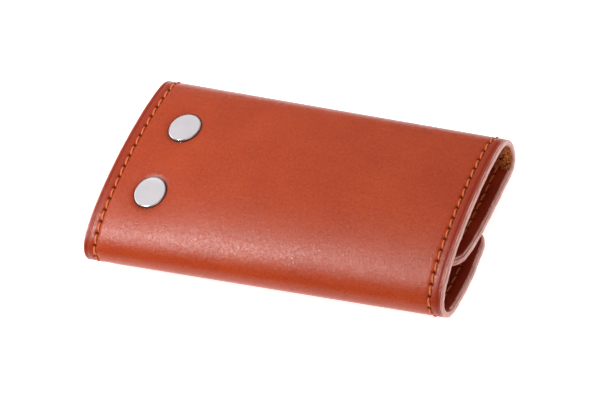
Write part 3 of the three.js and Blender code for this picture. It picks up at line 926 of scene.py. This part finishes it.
def stitches_between(first, last):
    """The pairs of neighbouring holes whose stitch lies between two landmarks."""
    return [pair for pair in hole_pairs if landmarks[first] <= middle_run(pair) < landmarks[last]]


def seam_nodes(*parts):
    """The CAD's plain seam threads on these parts of the cover."""
    return [f"{part}_seam_{end}" for part in parts for end in ("rail_end", "open_end")]


# Each row of stitches by name: its first and last landmark, its bend and the nodes it replaces
SEAM_PIECES = {
    "outer_flap": (0, 1, "near_outer", seam_nodes("outer_flap")),
    "front": (1, 2, "front_near", seam_nodes("front", "near_fold")),
    "far_fold": (2, 3, "front_far", seam_nodes("far_fold")),
    "inner_flap": (3, 4, "far_inner", seam_nodes("inner_flap")),
}
for name, (first, last, key, nodes) in SEAM_PIECES.items():
    pairs = stitches_between(first, last)
    groove = SEAM_GROOVE[0]
    piece = stitch_mesh(f"stitches_{name}", pairs, groove, -1, MATERIALS["thread"], 0.5, 0.22)
    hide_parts(*nodes)
    bend(piece)


def is_lined(pair):
    """Whether the inside of a stitch lies on a lining."""
    return not RUN_OUTER_FOLD <= middle_run(pair) <= RUN_INNER_FOLD


for name, (first, last, key, _) in SEAM_PIECES.items():
    pairs = stitches_between(first, last)
    for lined, depth, place in ((False, COVER, "plain"), (True, COVER + LINING, "lined")):
        chosen = [pair for pair in pairs if is_lined(pair) == lined]
        if chosen:
            label = f"stitches_{name}_inside_{place}"
            base = depth - INNER_SEAM_GROOVE[0]
            piece = stitch_mesh(label, chosen, base, 1, MATERIALS["inner_thread"], 0.4, 0.24)
            bend(piece)


# ---- metal ----
def turned(name, profile, material, segments=72):
    """A turned piece about +Z from (radius, z) pairs that start and end on the axis."""
    turn = np.linspace(0, 2 * np.pi, segments + 1)[:-1]
    vertices = [(0, 0, profile[0][1])]
    for radius, z in profile[1:-1]:
        vertices += [(radius * np.cos(a), radius * np.sin(a), z) for a in turn]
    vertices.append((0, 0, profile[-1][1]))
    faces = []
    rings = len(profile) - 2
    for j in range(segments):
        k = (j + 1) % segments
        faces.append([0, 1 + k, 1 + j])
        for i in range(rings - 1):
            a, b = 1 + i * segments, 1 + (i + 1) * segments
            faces.append([a + j, a + k, b + k, b + j])
        last = 1 + (rings - 1) * segments
        faces.append([last + j, last + k, len(vertices) - 1])
    return add_mesh(name, vertices, faces, [material])


def stand_on(piece, run, x, body):
    """Sets a turned piece on the sheet's outer face, its axis square to it."""
    at = surface(run, x, 0)
    up = surface(run, x, -1) - at
    up /= np.linalg.norm(up)
    along = np.array([1.0, 0, 0]) - up[0] * up
    along /= np.linalg.norm(along)
    across = np.cross(up, along)
    axes = Matrix(np.stack([along, across, up], 1).tolist()).to_4x4()
    piece.data.transform(Matrix.Translation((at * MM).tolist()) @ axes)
    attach(piece, body)


# The cap's section as (radius, z): stem, rolled rim and a nearly flat top
RIVET_STEM_END = (1.3, -3.3)
RIVET_RIM = [(4.6, -0.2), (4.94, -0.14), (5.02, 0.05), (5.0, 0.22), (4.9, 0.36), (4.72, 0.43)]
RIVET_TOP = [(4.55, 0.42), (4.4, 0.39), (3.0, 0.4), (0, 0.41)]
stem_radius, stem_z = RIVET_STEM_END
rivet_profile = [(0, stem_z), RIVET_STEM_END, (stem_radius, 0.0), *RIVET_RIM, *RIVET_TOP]
for name, (run, x) in zip(RIVETS, RIVET_RUNS):
    cap = turned(f"rivet_cap_{name}_plated", rivet_profile, MATERIALS["nickel"])
    stand_on(cap, run, x, "front")
    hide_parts(f"rivet_cap_{name}")


def softened(node, material, width, segments=2):
    """The CAD node's shape with its sharp edges broken, for pressed and stamped metal."""
    source = frame["nodes"][node]
    piece = bpy.data.objects.new(f"{node}_finished", source.data.copy())
    bpy.context.scene.collection.objects.link(piece)
    piece.data.materials.clear()
    piece.data.materials.append(MATERIALS[material])
    weld = piece.modifiers.new("weld", "WELD")
    weld.merge_threshold = 0.002 * MM
    flat = piece.modifiers.new("flat", "DECIMATE")
    flat.decimate_type = "DISSOLVE"
    flat.angle_limit = np.radians(4)
    bevel = piece.modifiers.new("bevel", "BEVEL")
    bevel.width = width * MM
    bevel.segments = segments
    bevel.limit_method = "ANGLE"
    bevel.angle_limit = np.radians(38)
    bevel.harden_normals = False
    bpy.context.view_layer.update()
    evaluated = piece.evaluated_get(bpy.context.evaluated_depsgraph_get())
    mesh = bpy.data.meshes.new_from_object(evaluated)
    piece.modifiers.clear()
    piece.data = mesh
    mesh.polygons.foreach_set("use_smooth", np.ones(len(mesh.polygons), bool))
    mesh.set_sharp_from_angle(angle=np.radians(45))
    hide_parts(node)
    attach(piece, source["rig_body"])


for i in range(1, 5):
    softened(f"key_hook_{i}", "steel", 0.3, 3)
    softened(f"hook_gate_{i}", "nickel", 0.16)
    softened(f"gate_pin_{i}", "steel", 0.06)
softened("key_rail", "steel", 0.12)
softened("rail_pin", "steel", 0.1)
for name in RIVETS:
    softened(f"rivet_foot_{name}", "nickel", 0.12)
for i in STUDS:
    softened(f"stud_cap_{i}", "nickel", 0.2, 3)
    softened(f"stud_socket_{i}", "nickel", 0.12)
    softened(f"stud_{i}", "nickel", 0.12)
    softened(f"stud_foot_{i}", "nickel", 0.15)

# ---- floor, light and camera ----
FLOOR_HALF = 1.6
floor_mesh = bpy.data.meshes.new("floor")
floor_corners = [(x * FLOOR_HALF, y * FLOOR_HALF, 0) for x, y in ((-1, -1), (1, -1), (1, 1), (-1, 1))]
floor_mesh.from_pydata(floor_corners, [], [(0, 1, 2, 3)])
floor = bpy.data.objects.new("floor", floor_mesh)
bpy.context.scene.collection.objects.link(floor)
pale = Nodes("floor_pale")
pale.set("Base Color", (0.9, 0.9, 0.9, 1))
pale.set("Roughness", 0.9)
pale.set("Specular IOR Level", 0.1)
pale.set("Emission Color", (1, 1, 1, 1))
pale.set("Emission Strength", 0.8)
floor.data.materials.append(pale.material)


def softbox(name, direction, distance, across, along, power, run=(1, 0, 0)):
    """A lit rectangle that faces the origin, in metres and watts. ALONG is its length towards RUN."""
    light = bpy.data.lights.new(name, "AREA")
    light.shape = "RECTANGLE"
    light.size = across
    light.size_y = along
    light.energy = power
    lamp = bpy.data.objects.new(name, light)
    bpy.context.scene.collection.objects.link(lamp)
    back = Vector(direction).normalized()
    run = Vector(run)
    run = (run - run.dot(back) * back).normalized()
    turn = Matrix([run.cross(back), run, back]).transposed().to_4x4()
    lamp.matrix_world = Matrix.Translation(back * distance) @ turn


world = bpy.data.worlds.new("studio")
world.use_nodes = True
world.node_tree.nodes["Background"].inputs["Color"].default_value = (1.0, 0.985, 0.97, 1)
world.node_tree.nodes["Background"].inputs["Strength"].default_value = 0.3
bpy.context.scene.world = world
# A narrow strip for the gleam along the near fold, a wall for the metal, and two fills.
softbox("strip", (-0.5, -0.125, 0.857), 0.505, 0.02, 0.105, 2.1, (0.42, -0.91, 0))
softbox("wall", (-0.50, 0.46, 0.70), 0.34, 0.34, 0.24, 0.15)
softbox("left_fill", (-0.34, -0.03, 0.13), 0.37, 0.3, 0.18, 0.3)
softbox("front_fill", (0.55, -0.6, 0.6), 0.6, 0.5, 0.5, 0.45)
bpy.context.scene.view_settings.view_transform = "Standard"

# The camera is far off, with a long lens, above the near long side and the open end.
RIGHT = Vector((0.86730, 0.36462, -0.33888))
UP = Vector((-0.14918, 0.83988, 0.52187))
BACK = Vector((0.47490, -0.40207, 0.78282))
AWAY = 1211.4 * MM
SHIFT_RIGHT = -2.719 * MM
SHIFT_UP = 4.124 * MM
AIM = Vector((0, -0.32 * MM, 0))
FOCAL_LENGTH = 247.53
camera_data = bpy.data.cameras.new("camera")
camera_data.sensor_width = 36
camera_data.lens = FOCAL_LENGTH
camera = bpy.data.objects.new("camera", camera_data)
bpy.context.scene.collection.objects.link(camera)
place = AIM + BACK * AWAY + RIGHT * SHIFT_RIGHT + UP * SHIFT_UP
turn = Matrix([RIGHT, UP, BACK]).transposed().to_4x4()
camera.matrix_world = Matrix.Translation(place) @ turn
camera_data.clip_start = 0.01
camera_data.clip_end = 20
bpy.context.scene.camera = camera
